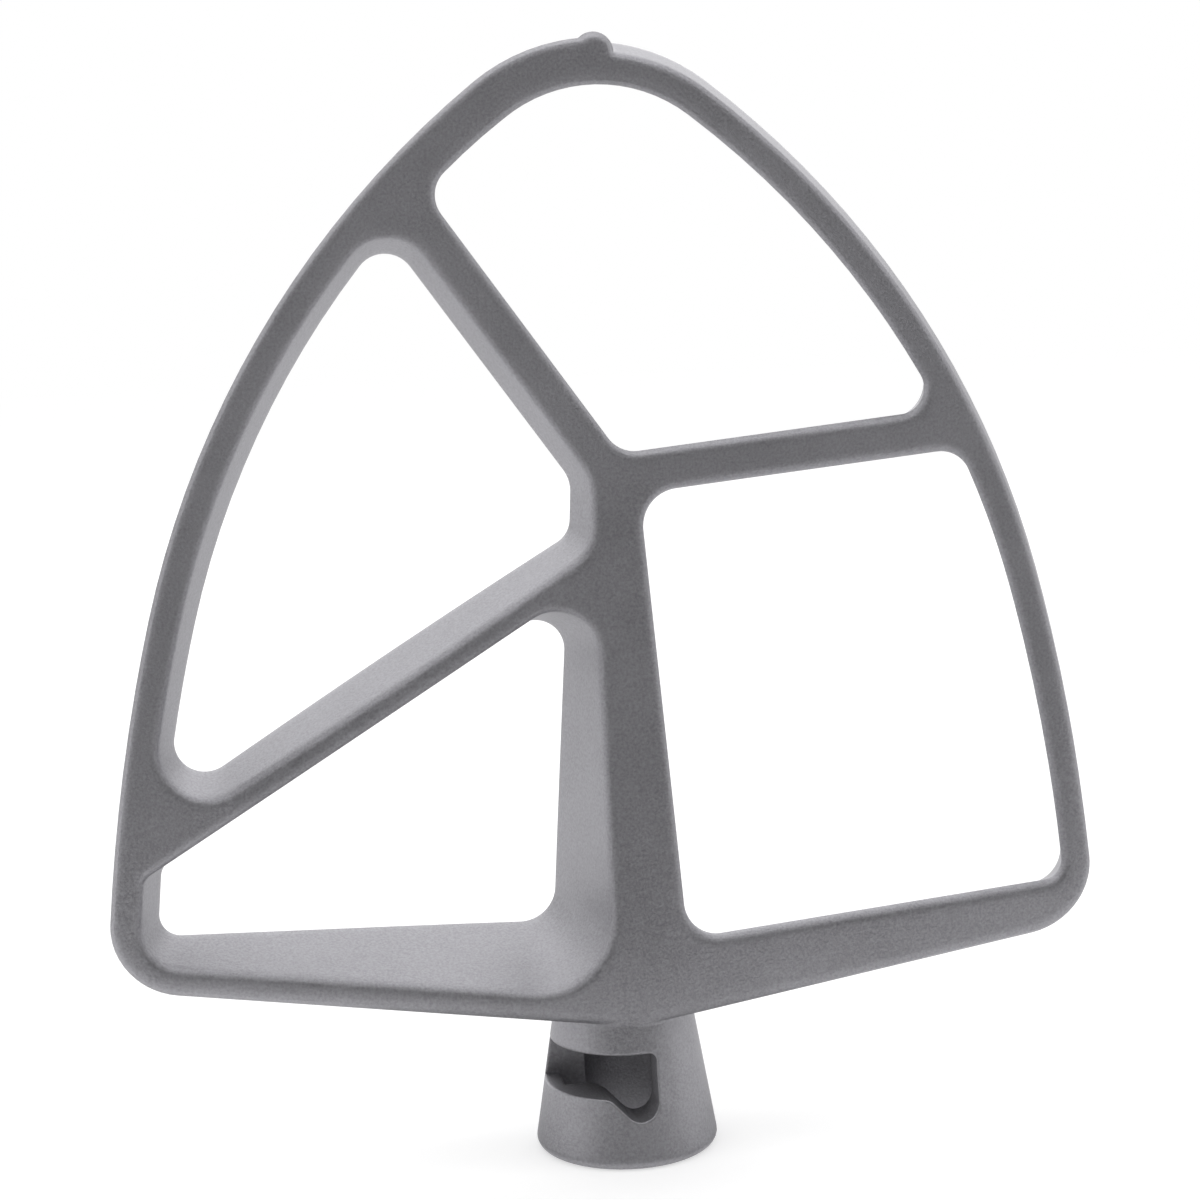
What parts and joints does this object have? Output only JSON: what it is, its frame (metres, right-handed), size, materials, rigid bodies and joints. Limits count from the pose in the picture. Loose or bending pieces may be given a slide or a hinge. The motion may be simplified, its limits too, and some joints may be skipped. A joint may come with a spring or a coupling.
{
  "type": "flat beater",
  "caption": "Flat beater for a stand mixer: an arched open casting with slanted braces, on a tapered hub with a shaft bore and a hooked pin slot.",
  "frame": {"origin": "centre of the hub's mouth, on the axis of the shaft bore", "axes": "+Z from the mouth up the bore to the tip of the arch, +X across the width, -Y toward the side where the pin slot opens"},
  "size_m": [0.1488, 0.0272, 0.1638],
  "materials": {
    "casting": "matte, fine blasted grain"
  },
  "bodies": {
    "root": {"flat_beater": "casting"}
  },
  "joints": []
}
